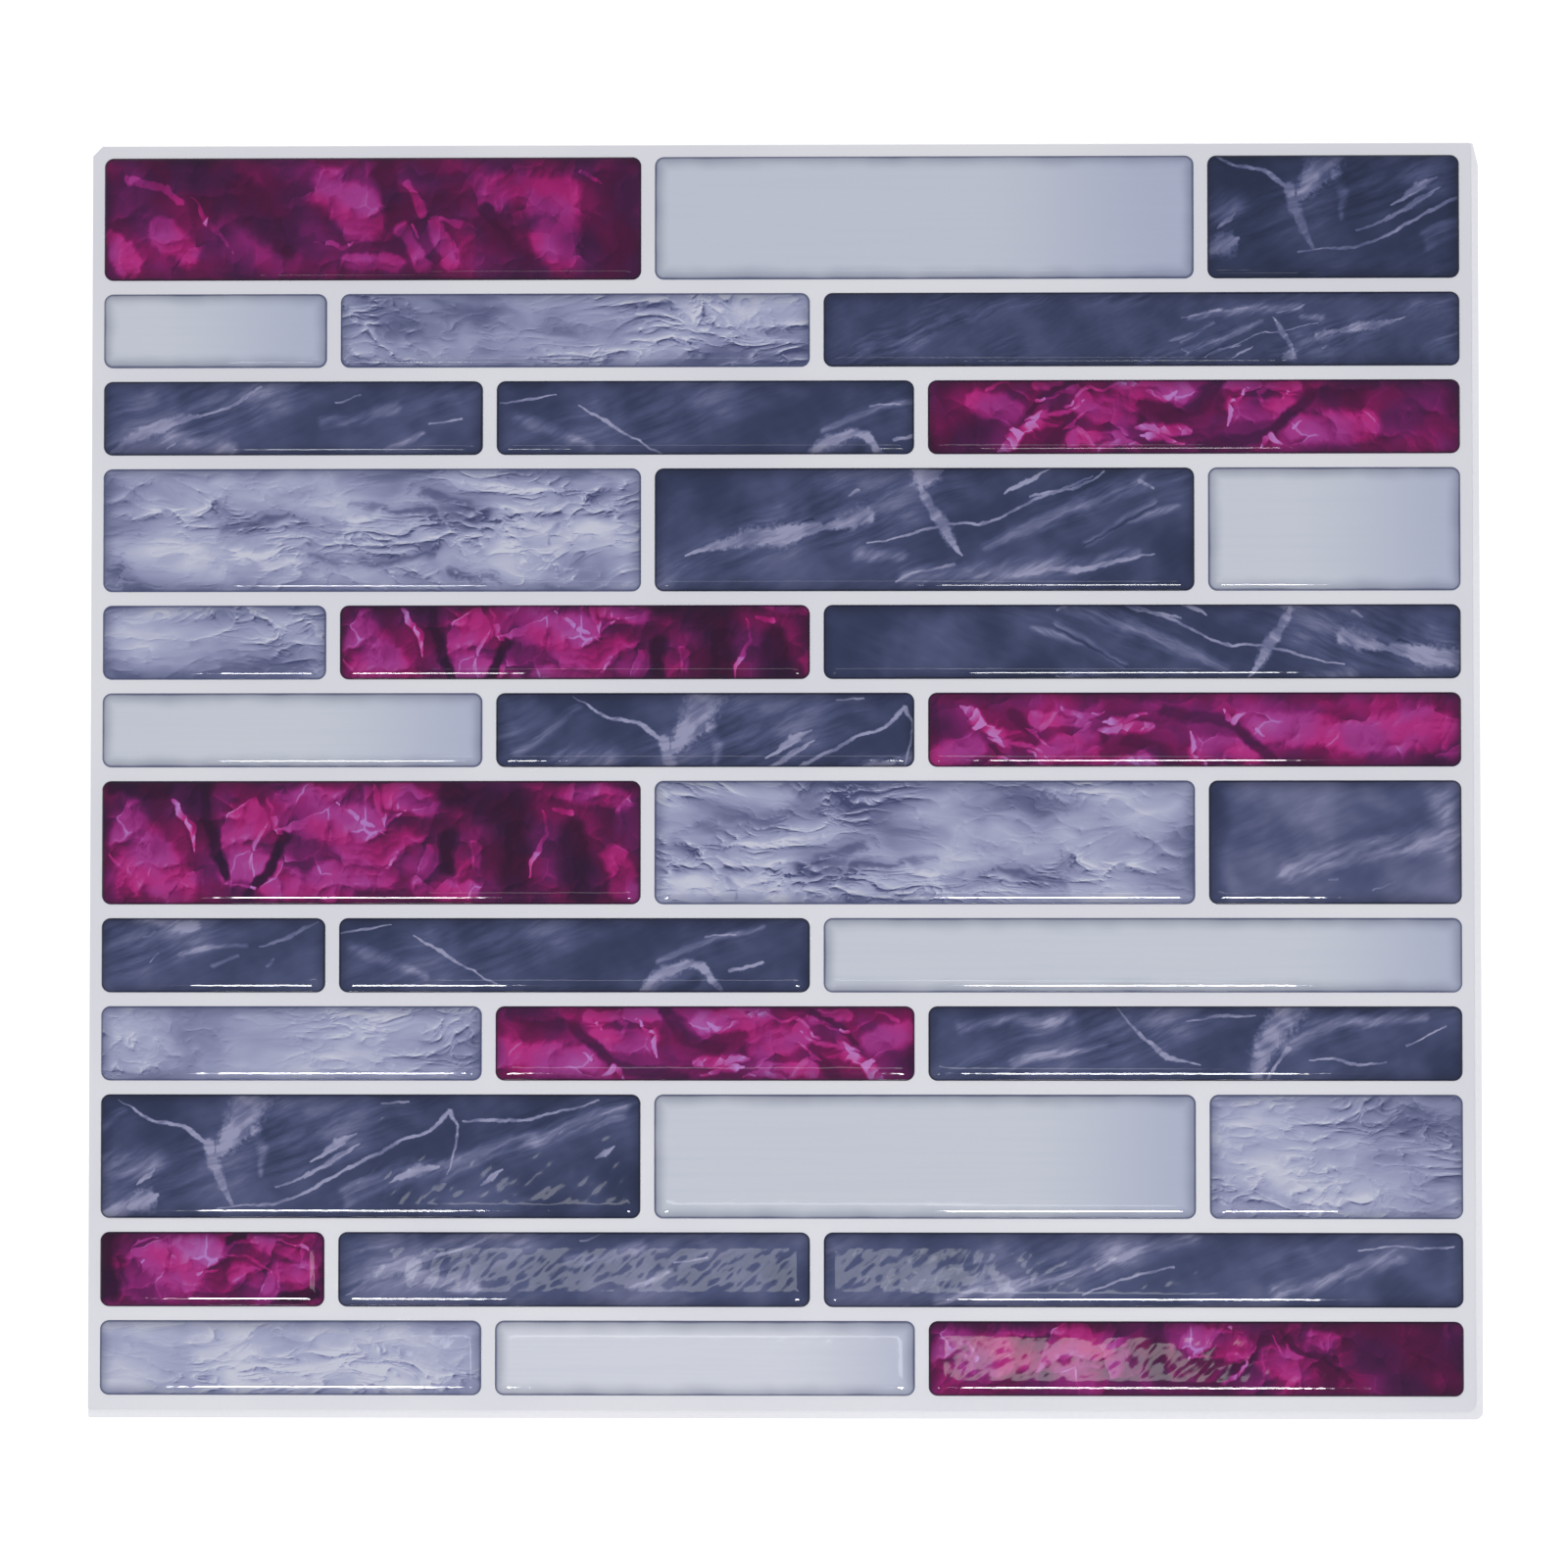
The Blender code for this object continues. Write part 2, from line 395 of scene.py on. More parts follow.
def marble_print(name, light=(), dark=(), soft=0.0, base=0.0):
    """Blue-grey marble: creased folds stretched sideways, with calm light pools.

    Light and dark are strokes. Soft takes away from the creases, and base says how much lighter the
    whole print is.
    """
    finish = Finish(name)
    place = finish.print_place()
    flow = finish.stretched(place, 0.46, 1.0)
    bent = finish.warp(finish.warp(flow, 0.05, 8.0), 0.25, 2.4)

    crease = finish.relief(bent, 0.22, 5.0, (0.08, -0.23, 0.0), 0.68)
    body = finish.noise(bent, 0.075, 3.0)
    rough = finish.noise(flow, 0.05, 1.0).ease(0.60, 0.38)
    level = MARBLE_GROUND + base + (body - 0.5) * (1.6 - soft)
    wavy = finish.warp(place, 0.14, 5.0, 2.0)
    if light:
        glow = 1.0 - (finish.strokes(wavy, light) - crease * 1.5).ease(0.1, 1.3)
        level = level + glow * 0.34
        rough = rough * (1.0 - glow * 0.7)
    if dark:
        gap = 1.0 - (finish.strokes(wavy, dark) * 0.8 - crease * 3.0).ease(0.0, 1.3)
        level = level - gap * 0.30
    level = level + crease * (0.22 + rough * 0.88) * (1.0 - soft)
    return under_gel(finish, finish.ramp(level, MARBLE_INKS), MARBLE_EDGE_SHADE, MARBLE_SHADING)


def pale_print(name, ground):
    """Pale blue-grey, brushed sideways, with painted shade that darkens it towards the tile's right end.
    """
    finish = Finish(name)
    place = finish.print_place()
    lines = finish.noise(finish.stretched(place, 0.02, 1.0), 0.9, 4.0, 0.6)
    across = finish.node("SeparateXYZ", {}, {"Vector": place})
    # Painted shade towards the tile's right end
    colour = finish.mix(across.ease(*RIGHT_END_SHADE_FADE) * RIGHT_END_SHADE_STRENGTH, ground, PALE_RIGHT_END_SHADE)
    colour = finish.mix(lines.ease(0.35, 0.75) * 0.15, colour, PALE_LILAC)
    return under_gel(finish, colour, MARBLE_EDGE_SHADE, PALE_SHADING, PALE_RIPPLES)


def plum_print(name, lit, dark, lilac, base, deep=0.04, crisp=1.0, shine=0.92, creased=0.24, lean=50.0):
    """Plum crystal: folded petals with lit facets, thin bright creases and soft dark gaps.

    Lit, dark and lilac are strokes: petals, gaps and glints. Base says how much lighter the whole
    print is, deep and shine how light gaps and glints are, crisp and creased how strong facets and
    creases are, and lean at what angle the facets lie.
    """
    finish = Finish(name)
    place = finish.print_place()
    bent = finish.warp(place, 0.22, 2.4, 2.0)
    turned = finish.slanted(bent, lean, 0.75, 1.20)

    leaves = finish.facets(turned, 0.13)
    flakes = finish.facets(finish.slanted(bent, lean + 30.0, 0.6, 1.3), 0.36)
    crumple = finish.relief(bent, 0.10, 3.0, (0.35, -0.45, 0.0))
    body = finish.noise(place, 0.055, 2.0)
    patch = finish.noise(place, 0.11, 1.0)
    level = PLUM_GROUND + base + (body - 0.5) * 0.9
    petal = 1.0 - (finish.strokes(bent, lit) - leaves * 0.5 - flakes * 0.15).ease(0.65, 1.15)
    level = level + petal * 0.34
    gap = 1.0 - (finish.strokes(bent, dark) - leaves * 0.35 - flakes * 0.15).ease(0.45, 1.20)
    level = level - gap * (level - deep)
    level = level + (leaves * 0.34 + flakes * 0.08 + crumple * 0.9) * (0.12 + level) * crisp
    level = level.least(level * 0.3 + 0.55)
    crease = 1.0 - finish.cracks(turned, 0.13).ease(0.0, 0.05)
    level = level + crease * patch.ease(0.50, 0.66) * level * (creased * crisp)
    glint = 1.0 - (finish.strokes(bent, lilac) * 0.7 - leaves * 0.35 - flakes * 0.20).ease(0.45, 0.95)
    seen = 0.45 + patch.ease(0.38, 0.56) * 0.50
    level = level + glint * (shine + flakes * 0.5 - level) * seen
    turning = finish.noise(bent, 0.09, 2.0).ease(0.36, 0.64)
    colour = finish.mix(turning, finish.ramp(level, PLUM_RED_INKS), finish.ramp(level, PLUM_VIOLET_INKS))
    return under_gel(finish, colour, PLUM_EDGE_SHADE, PLUM_SHADING)


def film_finish():
    """White vinyl with a faint cool cast, where the ink lies a little unevenly."""
    finish = Finish("printed vinyl film")
    place = finish.object_place()
    uneven = finish.noise(place, 14.0, 2.0).ease(0.3, 0.7)
    colour = finish.mix(uneven * 0.5, FILM_WHITE, FILM_SHADE)
    grain = finish.noise(place, 1500.0, 1.0)
    normal = finish.bump(grain, GRAIN_HEIGHT, 0.25)
    return finish.surface(colour, FILM_ROUGHNESS + grain * 0.12, normal)


def liner_finish():
    """Glazed release paper: nearly white, with faint fibres."""
    finish = Finish("release paper")
    place = finish.object_place()
    fibre = finish.noise(place, 900.0, 3.0, 0.6)
    tone = finish.noise(place, 25.0, 2.0)
    colour = finish.mix((fibre * 0.25 + tone * 0.25).clamped(), LINER_WHITE, FILM_SHADE)
    normal = finish.bump(fibre, GRAIN_HEIGHT, 0.2)
    return finish.surface(colour, LINER_ROUGHNESS + fibre * 0.12, normal)


# Strokes of the prints: each is a row of points, x, y and half width, in mm from the print's middle

FORK_BRIGHT = (
    ((-54.5, 12.1, 0.15), (-48.3, 7.8, 0.45), (-41.3, 5.5, 0.5), (-35.8, 2.4, 0.6)),
    ((-25.5, 15, 4.68), (-27.5, 9, 4.16), (-31.5, 4, 2.34), (-34, 0, 0.28)),
    ((-35.5, 2.8, 1.17), (-33.6, -2.4, 1.3), (-30, -11.3, 0.32)),
    ((-52.5, -10.8, 0.28), (-48.5, -9.5, 2.47), (-45.6, -8.6, 0.45)),
    ((-50.3, -6.2, 0.2), (-48.3, -4.6, 0.7), (-46.8, -3.1, 0.2)),
    ((-33, -11.7, 0.25), (-20, -10.1, 0.35), (-9.3, -5.5, 0.35), (1.7, 0, 0.4),
     (7.2, 3.5, 0.35), (12.6, 5.9, 0.4), (17.7, 10.2, 0.6)),
    ((17.7, 10.2, 0.6), (19, 6.7, 0.35), (18.8, 2, 0.3), (17.3, -3.5, 0.15)),
    ((20.4, 7.8, 0.25), (26.7, 7.6, 0.35), (31.4, 7.8, 0.35), (40.8, 9.8, 0.3), (50.1, 11.7, 0.2)),
    ((-12.8, -0.8, 0.17), (-6.9, 2.8, 1.3), (-1.8, 5.1, 0.15)),
    ((-14, -4.3, 0.3), (-7.7, -0.8, 0.7), (-1.4, 2.4, 0.15)),
    ((-19.4, -6.2, 0.2), (-13.2, -3.5, 0.4)), ((4, -6.2, 0.15), (11, -2.6, 1.3), (15, -1.6, 0.42)),
    ((24.3, -6.2, 0.2), (26.7, -4.6, 0.7), (29, -3.1, 0.2)),
    ((49.3, -1.1, 0.2), (51.7, -0.1, 0.7), (54, 1.2, 0.2)), ((2.4, 11.4, 0.3), (8.4, 12.6, 0.3)),
)
FORK_FAINT = (
    ((-25, 7, 1.4), (-23, 2, 1.4), (-22.5, -4, 0.8)),
    ((-4.6, -10.2, 1.8), (5.6, -5.1, 2.6), (15, -1.8, 2.4)),
    ((17.5, -3.5, 2), (25.1, 0.4, 2.6), (36.8, 3.5, 2.2), (54.8, 8.6, 1.4)),
    ((-59, -12, 1), (-50, -10, 2.4)), ((-58, -2, 3), (-48, -2, 4)),
    ((-5.2, -8.2, 1.7), (6.7, -3.1, 2.4), (15.7, -0.7, 1.7)),
    ((16.9, -1.5, 1.7), (35.8, 4.6, 1.9), (54.8, 10.7, 1.6)),
    ((-67.3, 0.6, 1.4), (-54.1, 9.6, 1.2)),
)
SPINDLE_BRIGHT = (
    ((-51.7, -5.7, 0.2), (-41, -2.6, 1.56), (-31.5, -0.8, 2.86), (-23, 1.2, 1.3)),
    ((-36.5, -2.5, 0.17), (-31, -2.6, 1.56), (-27, -0.6, 0.21)),
    ((-22.8, 0.6, 0.4), (-17, 2.3, 1.82), (-13, 3.6, 2.08)), ((-16.5, 7, 0.17), (-14, 8.3, 0.39)),
    ((-2, 13, 0.35), (0.6, 11.6, 2.6), (3.5, 13, 0.42)),
    ((-0.6, 10.5, 0.32), (2.9, 2.5, 1.3), (4.9, -2.7, 1.3), (8.5, -5.7, 0.21)),
    ((-12.3, -3, 0.2), (-5, -2.4, 0.3), (4.1, 0.4, 0.35), (11.9, 1.7, 0.35),
     (18.2, 3.5, 0.3), (23.6, 6.2, 0.35), (31.5, 9, 0.35), (37, 11.7, 0.2)),
    ((22.9, 7, 0.25), (32.2, 8.6, 0.35), (39.3, 12.1, 0.2)),
    ((17.4, 7.8, 0.15), (22.1, 10.1, 0.7), (27.6, 12.5, 0.15)),
    ((20.5, -9.8, 0.17), (33, -8.5, 0.8), (50, -6.3, 0.15)), ((-6, -12.1, 0.17), (6.5, -7.4, 0.33)),
    ((47, 10.3, 0.5), (50, 8.6, 0.22)),
)
SPINDLE_FAINT = (
    ((13.5, -3.5, 1.2), (25.2, 1.2, 2.2), (36.9, 7.4, 2.2), (47.1, 10.5, 1.8)),
    ((35.4, -2.7, 1), (50.2, 5.1, 1.2)), ((44.8, 1.9, 1.4), (56, 4, 1.4)),
    ((-4, -10.8, 2.2), (9.6, -8.6, 3), (25, -8.9, 2.6), (46, -6, 1.4)),
    ((-14, -5, 1.8), (-5, -6.5, 1.8)),
)
SPINDLE_DARK = (
    ((35, -3.1, 0.3), (44, 1.2, 0.5), (51, 5.1, 0.3)), ((-31.4, 1.2, 0.2), (-24, 3.1, 0.4)),
)
WEDGE_BRIGHT = (
    ((-17.4, 7.9, 0.16), (-6.1, -3.8, 0.6), (0.7, -5.3, 0.16)),
    ((13.8, -6.8, 1.56), (15, 0, 2.86), (20.3, 7.5, 3.9)), ((16.5, -6.8, 0.44), (20.3, -0.8, 0.5)),
    ((24.8, -3.8, 0.16), (31.6, -3.6, 0.45), (40.6, -4.5, 0.16)),
    ((45.9, -0.8, 0.25), (55.3, 3, 0.25)), ((-0.8, 4.9, 0.15), (6.7, 6, 0.45), (12.7, 6.6, 0.15)),
)
WEDGE_FAINT = (
    ((20.3, -0.8, 2), (26.3, 4.5, 2.4), (35.4, 6, 2), (49.7, 5.3, 1.4)),
    ((-51.4, 3, 1.8), (-27.2, 6, 1.8)), ((-39.3, -3.8, 1.5), (-19.7, 0, 1.2)),
)
ARCH_BRIGHT = (
    ((-35.8, 4.4, 0.15), (-29.1, 1.7, 0.47), (-16.3, -5.7, 0.15)),
    ((15.3, -7.4, 0.7), (18.6, -4.2, 1.6), (24.7, -1.9, 1.2),
     (28, -2.7, 1.3), (30.1, -5.7, 0.9), (32.7, -8, 0.3)),
    ((28.7, 4.4, 0.22), (35.4, 5.1, 0.22)), ((34.1, -2.9, 0.39), (40.8, -1.8, 0.39)),
    ((-52.6, 4.1, 0.15), (-46.6, 4.9, 0.42), (-40.6, 5.6, 0.15)),
)
ARCH_FAINT = (
    ((17, -6.5, 2), (21.3, -3.8, 2)), ((18.6, -1, 0.8), (28, 3, 0.9), (41.5, 7.1, 0.8)),
    ((-48.5, 1, 1.7), (-32.4, -4.4, 1.3)),
)
ARCH_DARK = (
    ((23.3, -8, 2.3), (26, -6, 1.8)),
)
COMET_BRIGHT = (
    ((-41, -8.3, 0.15), (-32.2, -2.9, 1.56), (-24, 0.5, 1.3), (-20.2, 1, 0.44)),
    ((-20.2, 1, 0.27), (-12.5, 3.8, 0.38), (-6.5, 7, 0.27)),
    ((-27.3, -6.7, 0.18), (-24.6, -5.6, 0.21)), ((8.9, 3.2, 0.21), (14.4, 5.4, 0.21)),
    ((30.3, -1.7, 0.27), (36.9, 0.2, 0.27)),
)
COMET_FAINT = (
    ((-25.1, -3.9, 3.3), (-13.6, -6.4, 1.9)), ((21.5, -6.7, 0.8), (28.6, -3.9, 0.8)),
    ((6.2, -1.7, 1.6), (22.6, 2.7, 1.6)),
)
DRIFT_BRIGHT = (
    ((-15.5, 4.6, 0.21), (-12.6, 5.6, 0.21)), ((-13.6, -1.2, 0.18), (-12, 1, 0.18)),
    ((9.5, 2, 0.15), (17.6, 4.9, 0.55), (22.8, 7.2, 0.16)),
)
DRIFT_FAINT = (
    ((-7.4, -0.3, 0.7), (0.4, 1.4, 0.8), (6.9, 1.7, 0.58)), ((-0.3, -2.9, 0.58), (4.9, -0.9, 0.58)),
    ((12.1, -1.9, 0.45), (13.1, -0.3, 0.45)), ((-19.1, 8.2, 1.3), (-2.9, 6.6, 1.6)),
)
MIST_BRIGHT = (
    ((-1.2, -9.1, 0.29), (0.3, -8.8, 0.29)), ((8.2, -9.8, 0.18), (13.6, -7.7, 0.18)),
)
MIST_FAINT = (
    ((-9.8, -6.6, 3.2), (11.8, -0.5, 3.6), (26.2, 1.7, 3.6)), ((23.4, 8.5, 4), (24.8, -1.2, 4)),
)
MIST_DARK = (
    ((-26.5, 12, 4.5), (-26, -12, 3.6)),
)
STREAM_BRIGHT = (
    ((-13, -5.1, 0.25), (6, 0.3, 0.3)), ((46.7, 4, 0.25), (66.6, 5.8, 0.3)),
)
STREAM_FAINT = (
    ((-43.8, -6.9, 1.8), (-16.6, -0.6, 2.5), (10.5, 7.6, 2.2)),
    ((28.6, -5.1, 2.2), (55.8, 2.2, 2.5)),
)
PETALS_LIT = (
    ((-52.5, 2.1, 6.3), (-45, -8.4, 6.7)), ((-31.2, 3.5, 4.3), (-17.8, 8.3, 4.7)),
    ((-29.6, -4, 4.7), (-17.8, -8.3, 4.3)), ((-13, 7.4, 5.9), (-2, 0.8, 7.1), (9, -2.6, 5.5)),
    ((-11.5, -7.6, 3.5), (2.7, -7.2, 3.9)), ((5.1, 10.1, 3.2), (12.2, 8.3, 3.2)),
    ((23.1, -1, 2), (23.6, -5, 1.6)), ((11.4, -10.2, 2.2), (22.4, -10.5, 2.2)),
    ((42.9, 11.1, 2.8), (54.8, 9.2, 2.8)), ((53.6, -3, 3.5), (55.5, -10.1, 3.5)),
    ((-22.5, -10.1, 2.4), (-5.2, -10.2, 2.4)),
)
PETALS_DARK = (
    ((-56.4, 12.4, 2.4), (-44.6, 11.5, 2.2)),
    ((-36.3, 13.5, 1.7), (-36.1, 5.6, 1.9), (-34.2, -1.5, 1.6), (-31.6, -6.7, 1.3)),
    ((-18.9, 1.6, 1.3), (-22.5, -6.6, 1.4), (-27.2, -11.6, 1.3)),
    ((17.7, 11.3, 3.9), (31.1, 7, 5.5), (31.1, -7.9, 3.9)), ((44.5, 2.8, 3.9), (46.1, -9.9, 4.7)),
    ((16.9, 1.9, 2.4), (16.9, -6, 1.9)),
)
PETALS_LILAC = (
    ((-43, 9.3, 0.39), (-39.8, 3.7, 1), (-38.4, -1.8, 0.24)), ((-22.7, 9.4, 0.5), (-20, 2.4, 0.44)),
    ((-26.8, -6.9, 0.19), (-26, -1, 0.6), (-22.5, 4.1, 0.21)),
    ((-7.5, 9.2, 0.16), (-3.6, 5.6, 0.55), (3.5, 1.8, 0.21)),
    ((0.8, 13.3, 0.19), (1.3, 7, 0.6), (3.7, 4.6, 0.6), (6.8, 6.1, 0.21)),
    ((6.3, -2.2, 0.33), (3.4, -6, 0.33)),
    ((38.2, 6.9, 0.21), (38.6, 2.1, 0.6), (35.8, -2.5, 0.6), (34.7, -7.2, 0.19)),
    ((40.6, 7, 0.61), (43.7, 6.6, 0.61)), ((-57.2, -2.9, 0.3), (-53.2, -6.6, 0.26)),
    ((-32, -8.7, 0.26), (-24.9, -10.1, 0.26)),
)
FOLDS_LIT = (
    ((-46, -2, 5), (-66, -3, 5.5)), ((-40.4, -3.4, 4.2), (-26, -3.4, 4.2)),
    ((-22.9, 1.4, 3), (-13.3, 0.8, 3.3)), ((-25.4, 5.9, 1.5), (-9.7, 6.2, 1.5)),
    ((-0.1, 4.4, 2.7), (11.9, 5.6, 3)), ((11.9, 0.2, 3.6), (20.9, 1.4, 3.6)),
    ((13.1, -4.6, 1.7), (23.9, -5.8, 1.7)), ((37.1, 0.8, 3.6), (44.3, 2.6, 3.6)),
    ((23.9, 5.6, 1.8), (31.1, 5.9, 1.5)),
)
FOLDS_DARK = (
    ((-8.5, 6.8, 1.8), (-4.9, 2, 2), (0.5, -1, 1.8), (4.1, -0.4, 1.4)),
    ((-29, 3.8, 1.6), (-24.2, -0.4, 1.7), (-20.5, -4.6, 1.7), (-4.9, -7.6, 1.8)),
    ((19.1, 8, 0.8), (28.1, 5, 0.9), (32.9, 0.2, 0.8)), ((-41, 6.2, 2.4), (-32, 4.1, 2.2)),
    ((28.7, -7, 1.6), (25.1, -3.4, 1.2)),
)
FOLDS_LILAC = (
    ((-2.2, -4.3, 0.61), (4.1, -3.4, 1.76), (9.8, -3.3, 0.39)),
    ((-0.7, -7.3, 0.28), (4.7, -5.4, 1.08), (8.3, -5.2, 0.24)),
    ((8.3, -7.2, 0.24), (13.1, -6.1, 1.35), (17.6, -7.9, 0.39)),
    ((26.9, -2.8, 0.28), (31.1, -2.8, 1.22), (35.3, -4.3, 1.35), (37.1, -6.7, 1.35), (40.1, -8.2, 0.28)),
    ((20.3, 0.2, 0.15), (23.3, -2.8, 0.65), (25.7, -4, 0.15)),
    ((20.9, 2.6, 0.19), (25.1, 0.2, 0.81), (31.1, -1, 0.81), (33.5, -1.6, 0.19)),
    ((13.7, 6.2, 0.36), (16.7, 5, 0.36), (19.7, 5.6, 0.36), (22.7, 3.8, 0.36), (25.1, 1.4, 0.36)),
    ((26.3, 4.1, 0.3), (31.7, 2, 0.3)), ((37.7, 6.8, 0.39), (41.9, 5.3, 0.44)),
    ((-24.8, 5.3, 0.26), (-21.7, 2.6, 0.26)), ((-22.9, 6.8, 0.44), (-16.9, 4.4, 0.82)),
    ((-15.1, 5.6, 0.19), (-11.5, 1.4, 0.73), (-10.3, -2.8, 0.17)),
    ((0.5, 4.4, 0.21), (2.9, 3.2, 0.94), (7.1, 4.4, 0.21)), ((9.5, 6.8, 0.39), (12.5, 5.6, 0.94)),
    ((-22.3, -7, 0.3), (-19.9, -5.2, 0.73)), ((-18.7, -5.8, 0.65), (-17.5, -7.9, 0.26)),
    ((-27.2, -1.6, 0.26), (-23.9, -4, 0.26)), ((-43.4, -2.8, 0.26), (-42.8, -5.8, 0.26)),
)
BLOOM_LIT = (
    ((-57.1, -5, 2.7), (-54, -10.4, 3.5)), ((-54, 8.8, 1.1), (-44.8, 6.4, 1.1), (-42.5, 3.4, 0.9)),
    ((-46, -3.1, 3.7), (-41.8, -6.9, 3.8)), ((-9.9, 6.9, 4.6), (-1.8, 0.4, 6.1)),
    ((8.1, 7.7, 1.1), (11.2, 1.1, 1.2)), ((13.7, -1.5, 2.1), (17.3, -8.8, 2.6)),
    ((6.8, -2.7, 2.1), (11.2, -10, 2.1)), ((-4.9, -9.8, 2.1), (5.1, -9.8, 2.1)),
    ((28.1, 6.1, 5), (41.1, 5, 6.1)), ((40.4, -3.5, 6.1), (41.9, -7.3, 5.4)),
)
BLOOM_DARK = (
    ((-31.8, 8, 4.6), (-23.3, 0.4, 6.1), (-18.7, -6.5, 3.5)),
    ((25, 1.9, 1.5), (31.9, -7.3, 1.5), (34.4, -8.8, 1.4)), ((55, 8, 3.8), (55.7, -8.8, 3.8)),
    ((2.8, 9.6, 3.1), (4.3, 2.7, 2.3)), ((-37.2, 9.6, 2.3), (-48.7, 11.1, 1.5)),
)
BLOOM_LILAC = (
    ((-39.8, 4.6, 0.19), (-36.4, -0.4, 0.6), (-30.2, -7.3, 0.19)),
    ((-14.1, 4.2, 0.25), (-11.1, 10.4, 0.25)),
    ((-12.6, -5, 0.19), (-6.5, -6.5, 0.6), (-0.3, -3.5, 0.19)),
    ((12.7, 0, 0.19), (18.1, -0.8, 0.7), (22.7, -2.7, 0.19)),
    ((46.1, 10.2, 0.5), (50.4, 7.4, 0.44)), ((45.8, -5, 0.55), (46.5, -6.5, 0.55)),
    ((8.9, -1.5, 0.44), (10.8, -5, 0.33)), ((16.6, -3.1, 0.44), (18.9, -8.1, 0.5)),
)
TWIST_LIT = (
    ((-12.6, 2.9, 3.6), (-6.1, -1, 4.9)), ((-6.1, 4.9, 2.9), (-0.3, 3.6, 3.2)),
    ((5.3, -0.3, 2.6), (11.8, -2.9, 2.6)), ((10.1, 5.5, 1.9), (18.3, 3.6, 1.9)),
    ((14.4, -0.3, 2.6), (21.5, -0.6, 2.6)),
)
TWIST_DARK = (
    ((-23.7, 7.2, 3.6), (-22.7, -4.2, 3.9)),
    ((6.9, 7.5, 1.6), (3.6, 6.5, 1.3)), ((16.6, -6.2, 1.9), (23.1, -5.5, 1.6)),
)
TWIST_LILAC = (
    ((-17.5, 4.2, 0.15), (-15.9, 6.5, 0.39), (-12, 6.8, 0.15)),
    ((-16.5, 0.7, 0.2), (-14.9, 1.6, 0.2)),
    ((3.6, 3.6, 0.26), (10.1, 2, 0.32), (13.4, -1, 0.32), (15, -3.9, 0.29)),
    ((14.4, 7.8, 0.36), (19.2, 7.5, 0.2)), ((15, 6.5, 0.29), (19.9, 5.2, 0.32), (22.8, 2.9, 0.15)),
    ((-10, 4.2, 0.29), (-7.4, 2.3, 0.18)), ((-2.9, -1, 0.29), (1, -0.6, 0.29)),
)
BUD_LIT = (
    ((-54.4, 1.8, 5.3), (-21.2, 1.8, 6)), ((0.7, 4, 3.4), (8.6, 2.5, 3.8)),
    ((16.5, 0.3, 4.5), (24.8, -3.1, 4.5)), ((26.3, 4.8, 2.3), (30.1, 3.3, 2.3)),
)
BUD_DARK = (
    ((39.1, 2.5, 6), (56.5, 0.3, 6)),
    ((18.8, 6.3, 0.8), (21, 2.5, 0.8), (27.8, 0.3, 0.8), (33.1, -5, 0.8)),
    ((-9.1, 6.3, 3), (-7.6, -5, 2.3)),
)
BUD_LILAC = (
    ((7.8, 6.8, 0.61), (9.1, 4.3, 0.55)), ((-1.6, 0.1, 0.33), (9, 1.4, 0.33)),
    ((12.7, 2.5, 0.21), (9, -3.5, 0.6), (5.2, -5.8, 0.19)),
    ((-49.9, 3.3, 0.61), (-47.6, -0.5, 0.5)), ((16.5, 5.5, 0.25), (18, 1.8, 0.25)),
)
MARBLE_DARK = (
    ((-3.6, 5.3, 0.9), (13.8, 3.9, 1.1)), ((11.4, 7.6, 1.4), (24.4, 2.9, 1.7)),
    ((40.6, 1.7, 0.47), (39.4, -3, 0.47)), ((-56.4, -10.1, 3.2), (-51.3, -13.4, 2.7)),
    ((-13, -6.6, 0.9), (-0.4, -7.3, 1.1), (13.8, -5.4, 0.9)), ((-32, 0.1, 1.1), (-19.3, 2.5, 0.9)),
    ((17.7, -9.3, 1.1), (28.7, -11.3, 0.9)),
)
MARBLE_LIGHT = (
    ((-3.6, 0.5, 3), (11.4, 0.1, 3.2)), ((31.1, 0.1, 6.3), (53.2, -2.2, 7.1)),
    ((-28.8, -5.4, 2.4), (-17.8, -6.2, 2.4)),
)

# Where each tile is cut from: the print and the place in it under the tile's middle, in mm. A cut
# that isn't plain also has -1 where it is mirrored sideways, -1 where it is turned upside down, and
# how many mm of the print lie on one mm of the tile.
CUTS = (
    (("bloom", 0.0, 0.0), ("dim pale", 50.0, 0.0), ("dim fork", -25.6, -3.5)),
    (("pale", 75.4, 30.0), ("marble", 55.0, -52.0), ("far spindle", 68.7, -0.7, -1, -1, 2.1)),
    (("comet", 0.0, 0.0), ("arch", -7.4, 1.7), ("closed folds", -3.1, -0.9, -1, 1, 1.0)),
    (("marble", 0.0, 0.0), ("spindle", 0.0, 0.0), ("pale", 72.4, 60.0)),
    (("marble", 80.0, 40.0), ("petals", -2.8, 1.5, 1, 1, 1.075), ("spindle", 31.6, 2.0, -1, 1, 1.0)),
    (("pale", 58.2, 90.0), ("fork", -26.3, 5.1), ("folds", -11.4, -3.5, -1, -1, 1.0)),
    (("petals", 0.0, 0.0), ("marble", -2.1, 9.1, -1, 1, 1.0), ("mist", 0.0, 0.0)),
    (("drift", 0.0, 0.0), ("arch", 0.0, 0.0), ("pale", 30.2, 120.0)),
    (("soft marble", 0.0, 90.0), ("folds", 0.0, 0.0), ("wedge", 0.0, 0.0)),
    (("fork", 0.0, 0.0), ("pale", 40.8, 150.0), ("soft marble", 30.0, 80.0)),
    (("twist", 0.0, 0.0), ("haze", 8.0, -3.0), ("stream", 0.0, 0.0)),
    (("bright marble", 60.0, 140.0), ("bright pale", 47.0, 180.0), ("bud", 0.0, 0.0)),
)
PLAIN_CUT = (1, 1, 1.0)


